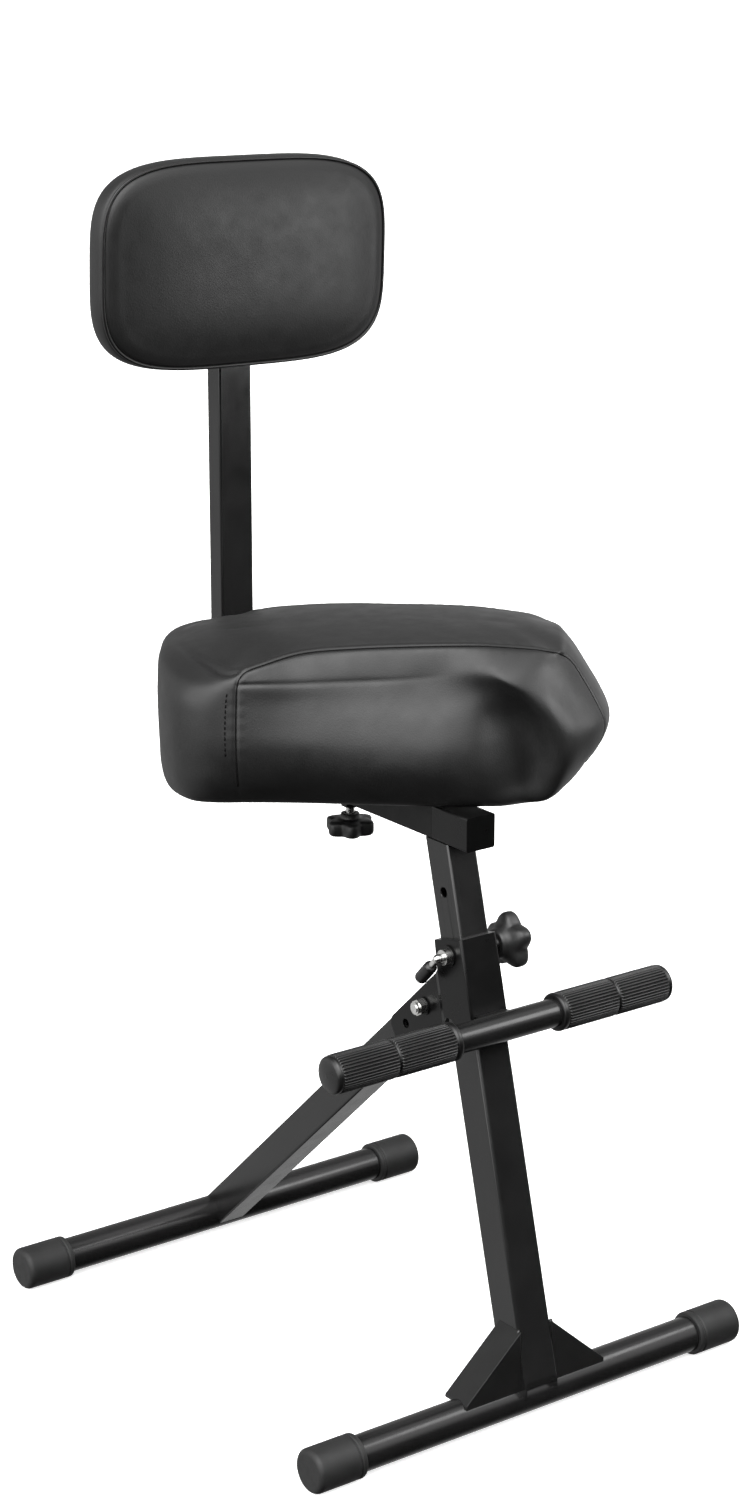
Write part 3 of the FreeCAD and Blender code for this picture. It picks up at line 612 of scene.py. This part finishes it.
lift = np.zeros((NR, NC))
seam_lines, stitch_lines = {}, {}
for side in (-1, 1):
    sg = 1 if side < 0 else -1
    L = even(seam_line(side), 3.0, 4)
    seam_lines[side] = L
    D, A, run = near_line(G, L)
    low_end = np.clip((G[..., 2] - 556.0) / 24.0, 0.25, 1.0)
    lift += low_end * (-1.2 * np.exp(-(D / 1.3) ** 2) + 0.08 * np.exp(-((D - 4.5) / 2.6) ** 2))
    pucker = np.sin(2 * math.pi * A / 9.5 + 1.7 * np.sin(A / 23.0)) * (0.6 + 0.4 * np.sin(A / 41.0))
    lift += 0.10 * low_end * pucker * np.exp(-((D - 4.0) / 4.0) ** 2)
    # soft fold under the rolled edge, fading out towards the nose
    base = SEAM_I if side < 0 else NST - SEAM_I
    K = even([G[row(L_SEAM - 2), column(base + sg * q)] for q in np.linspace(0.05, 4.6, 60)], 3.0, 2)
    D, A, run = near_line(G, K)
    fade = np.clip((1.0 - A / run) * 2.4, 0, 1)
    lift += fade * (-0.75 * np.exp(-(D / 1.8) ** 2) - 0.30 * np.exp(-(D / 5.5) ** 2))
    # soft fold from the seam's corner across the rear shoulder
    K = even([G[row(L_SEAM), column(base - sg * q)] for q in np.linspace(0.3, 5.2, 60)], 3.0, 2)
    D, A, run = near_line(G, K)
    fade = np.clip((1.0 - A / run) * 1.5, 0, 1)
    lift += fade * (-2.4 * np.exp(-(D / 3.2) ** 2) + 0.5 * np.exp(-((D - 8.0) / 4.0) ** 2))
    # row of top stitching beside the side seam
    c = column(base - sg * 0.30)
    stitch_lines[side] = (row(8.6), row(5.6), c)
G2 = G + N * lift[..., None]
N2 = outward(G2, np.array((0.0, 0.0, 600.0)))
parts = []
for side in (-1, 1):
    ra, rb, c = stitch_lines[side]
    P = even([G2[r, c] for r in range(min(ra, rb), max(ra, rb) + 1)], 0.5, 0)
    nn = np.array([N2[r, c] for r in range(min(ra, rb), max(ra, rb) + 1)])
    nn = np.stack([np.interp(np.linspace(0, 1, len(P)), np.linspace(0, 1, len(nn)), nn[:, k]) for k in range(3)], -1)
    for i in range(0, len(P) - 7, 9):
        arc = np.array([P[i + k] + nn[i + k] * (0.42 - 0.5 * (k / 3.0 - 1.0) ** 2) for k in range(7)])
        parts.append(tube(saddle_world(arc), np.array([0.3, 0.5, 0.6, 0.62, 0.6, 0.5, 0.3]) * MM, 6))
for side in (-1, 1):
    L = seam_lines[side]
    keep = []
    for q in L:
        k = int(np.argmin(np.sum((G2 - q) ** 2, -1)))
        r, c = divmod(k, NC)
        if G2[r, c, 2] > 548.0:
            keep.append(G2[r, c] + 0.05 * N2[r, c])
        elif len(keep) > 40:
            break
    parts.append(tube(saddle_world(even(keep, 2.5, 6)), 0.85 * MM, 6))
stitches = join("saddle_stitches", parts)
stitches.data.materials.append(M_THREAD)
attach(stitches, "saddle")

seat = new_object("saddle_cover", saddle_world(G2).reshape(-1, 3), grid_faces(NR, NC))
weld(seat, 2e-5)
seat.data.materials.append(M_LEATHER)
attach(seat, "saddle")
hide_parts("seat_cushion")


# ---------------------------------------------------------------- backrest pad
PAD_XC, PAD_ZC, PAD_A, PAD_B = -5.0, 947.5, 151.0, 92.0
PAD_N, PAD_ROLL = 3.9, math.radians(1.6)


def pad_ring(inset, y, n=160, scale=1.0):
    a, b = PAD_A - inset, PAD_B - inset
    e = 2.0 / PAD_N
    t = np.linspace(0, 2 * math.pi, n, endpoint=False)
    c, s = np.cos(t), np.sin(t)
    x, z = scale * a * np.sign(c) * abs(c) ** e, scale * b * np.sign(s) * abs(s) ** e
    return np.stack([PAD_XC + x * math.cos(PAD_ROLL) + z * math.sin(PAD_ROLL), np.full(n, y),
                     PAD_ZC - x * math.sin(PAD_ROLL) + z * math.cos(PAD_ROLL)], -1)


PAD_ROWS = [(26.0, 191.4), (20.0, 191.6), (12.0, 191.9), (6.0, 191.0), (2.2, 188.4), (0.4, 184.0), (0.0, 179.0),
            (0.4, 173.8), (1.8, 169.4), (3.6, 167.4), (6.0, 165.0), (10.0, 162.8)]
rings = [pad_ring(i, y) for i, y in PAD_ROWS]
for q in (0.92, 0.82, 0.70, 0.56, 0.42, 0.28, 0.14, 0.003):
    rings.append(pad_ring(10.0, 154.6 + 8.2 * q ** 3.4, 160, q))
PG = spline(np.array(rings), [(i, k / 4.0) for i in range(len(rings) - 1) for k in range(4)] + [(len(rings) - 2, 1.0)])
pad = new_object("backrest_cover", (PG * MM).reshape(-1, 3), grid_faces(PG.shape[0], PG.shape[1]))
weld(pad, 2e-5)
pad.data.materials.append(M_LEATHER)
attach(pad, "backrest")
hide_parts("backrest_cushion")

piping = join("backrest_piping", [tube(pad_ring(2.6, 167.3, 260) * MM, 1.6 * MM, 10, True)])
piping.data.materials.append(M_PIPING)
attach(piping, "backrest")


# ---------------------------------------------------------------- footrest grips
REST_Y, REST_Z, HALF, GRIP_LEN, GRIP_R = -195.6, 345.0, 179.5, 125.0, 16.75


def grip(name, side, node):
    ribs, per = 36, 9
    n = ribs * per
    th = np.linspace(0, 2 * math.pi, n, endpoint=False)
    w = (ribs * th / (2 * math.pi)) % 1.0 - 0.5
    tooth = np.sqrt(np.clip(1.0 - (w / 0.46) ** 2, 0, 1))
    x_in, end = HALF - GRIP_LEN, HALF + (5.0 if side < 0 else 0.0)
    mid_x = (x_in + end) / 2
    g = GRIP_R
    prof = [(x_in, 12.55, 0), (x_in, 14.0, 0), (x_in + 0.2, 15.6, 0), (x_in + 0.8, g - 0.3, 0), (x_in + 1.8, g, 0),
            (x_in + 4.6, g, 0), (x_in + 5.4, g - 0.4, 0), (x_in + 5.8, g - 1.3, 0), (x_in + 6.4, g - 1.3, 0),
            (x_in + 6.9, g - 0.4, 0.6), (x_in + 7.6, g, 1), (x_in + 30, g, 1),
            (mid_x - 2.6, g, 1), (mid_x - 1.8, g - 0.3, 0.6), (mid_x - 1.3, g - 1.6, 0), (mid_x - 0.7, g - 2.3, 0),
            (mid_x + 0.7, g - 2.3, 0), (mid_x + 1.3, g - 1.6, 0), (mid_x + 1.8, g - 0.3, 0.6), (mid_x + 2.6, g, 1),
            (mid_x + 30, g, 1), (end - 8.4, g, 1), (end - 7.6, g - 0.3, 0.6), (end - 7.2, g - 1.1, 0),
            (end - 6.6, g - 0.7, 0), (end - 5.2, g - 0.5, 0), (end - 3.8, g - 0.9, 0), (end - 2.5, g - 2.1, 0),
            (end - 1.7, g - 4.0, 0), (end - 1.1, g - 6.5, 0), (end - 0.5, g - 10.5, 0), (end - 0.2, g - 14.0, 0),
            (end - 0.1, 0.4, 0)]
    V, R = [], []
    for x, r, k in prof:
        rr = r - k * 2.1 * (1.0 - tooth)
        V.append(np.stack([np.full(n, side * x), REST_Y + rr * np.cos(th), REST_Z + rr * np.sin(th)], -1))
    V = np.array(V)
    faces = grid_faces(len(prof), n)
    c = len(prof) * n
    verts = list(V.reshape(-1, 3)) + [np.array((side * end, REST_Y, REST_Z))]
    last = (len(prof) - 1) * n
    faces += [(last + i, last + (i + 1) % n, c) for i in range(n)]
    ob = new_object(name, np.array(verts) * MM, faces)
    weld(ob, 1e-6)
    ob.data.materials.append(M_GRIP)
    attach(ob, "front_frame")
    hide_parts(node)
    return ob


# weld beads where the gussets' tops meet the post
beads = []
for side in (-1, 1):
    line = np.array([(side * 17.9, -243.5, 70.0), (side * 17.9, -243.3, 76.0), (side * 17.9, -243.0, 81.0),
                     (side * 17.9, -242.7, 85.0), (side * 17.9, -242.4, 87.0)])
    beads.append(tube(line * MM, np.array([0.9, 1.5, 1.7, 1.7, 1.2]) * MM, 8))
welds = join("gusset_welds", beads)
welds.data.materials.append(M_TUBE)
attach(welds, "front_frame")

grip("ribbed_grip_left", 1, "footrest_grip_left")
grip("ribbed_grip_right", -1, "footrest_grip_right")


# ---------------------------------------------------------------- star knobs
def star_knob(name, node, body, place, lobes, phase, core, lobe, prof):
    """Moulded star knob; prof lists (along the axis, radius factor, share of the lobes), place maps to the stool frame."""
    n = lobes * 24
    th = np.linspace(0, 2 * math.pi, n, endpoint=False)
    f = (0.5 + 0.5 * np.cos(lobes * (th - phase))) ** 0.85
    verts = []
    for x, k, s in prof:
        r = k * (core + s * lobe * f)
        verts += [place(x, rr * math.cos(q), rr * math.sin(q)) for rr, q in zip(r, th)]
    faces = grid_faces(len(prof), n)
    ob = new_object(name, np.array(verts) * MM, faces)
    weld(ob, 2e-6)
    ob.data.materials.append(M_PLASTIC)
    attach(ob, body)
    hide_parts(node)
    return ob


KNOB_C = (29.5, -144.482, 397.48)
star_knob("star_knob_height", "height_knob", "height_knob",
          lambda x, a, b: (KNOB_C[0] + x, KNOB_C[1] - a, KNOB_C[2] + b), 5, math.radians(25.0), 19.0, 6.4,
          [(0.0, 0.20, 0.0), (0.0, 0.55, 0.0), (0.25, 0.62, 0.0), (1.2, 0.66, 0.0), (4.0, 0.69, 0.0), (6.5, 0.75, 0.06),
           (8.5, 0.84, 0.30), (10.0, 0.92, 0.62), (11.8, 0.975, 0.88), (14.0, 1.0, 1.0), (19.0, 1.0, 1.0),
           (21.5, 0.985, 1.0), (23.2, 0.94, 1.0), (24.3, 0.87, 1.0), (24.8, 0.78, 0.95), (25.0, 0.66, 0.8), (25.0, 0.4, 0.4),
           (25.0, 0.01, 0.0)])
KNOB_D = (0.0, 23.0, 478.5)
star_knob("star_knob_depth", "depth_knob", "depth_knob",
          lambda x, a, b: (KNOB_D[0] + a, KNOB_D[1] - b, KNOB_D[2] - x), 6, 0.0, 17.2, 5.2,
          [(0.0, 0.28, 0.0), (0.0, 0.42, 0.0), (0.3, 0.48, 0.0), (4.0, 0.49, 0.0), (4.9, 0.52, 0.0), (5.1, 0.70, 0.5),
           (5.4, 0.86, 0.9), (6.4, 0.96, 1.0), (8.0, 1.0, 1.0), (15.0, 1.0, 1.0), (17.0, 0.97, 1.0), (18.3, 0.90, 1.0),
           (18.9, 0.80, 1.0), (19.0, 0.5, 0.6), (19.0, 0.01, 0.0)])


# ---------------------------------------------------------------- broken edges of the steel pieces
for name, width in (("outer_post", 0.7), ("hinge_bracket", 0.6), ("post_gussets", 0.6), ("footrest_saddle", 0.6),
                    ("post_head", 0.7), ("seat_beam", 0.7), ("inner_post", 0.5), ("rear_leg_tube", 0.6),
                    ("backrest_upright", 0.5), ("backrest_arm", 0.5), ("backrest_plate", 0.5), ("swivel_base", 0.5)):
    ob = nodes[name]
    w = ob.modifiers.new("edge_weld", "WELD")
    w.merge_threshold = 1e-5
    e = ob.modifiers.new("edge_break", "BEVEL")
    e.width = width * MM
    e.segments = 2
    e.limit_method = "ANGLE"
    e.angle_limit = math.radians(40.0)
    e.use_clamp_overlap = True
    e.harden_normals = True
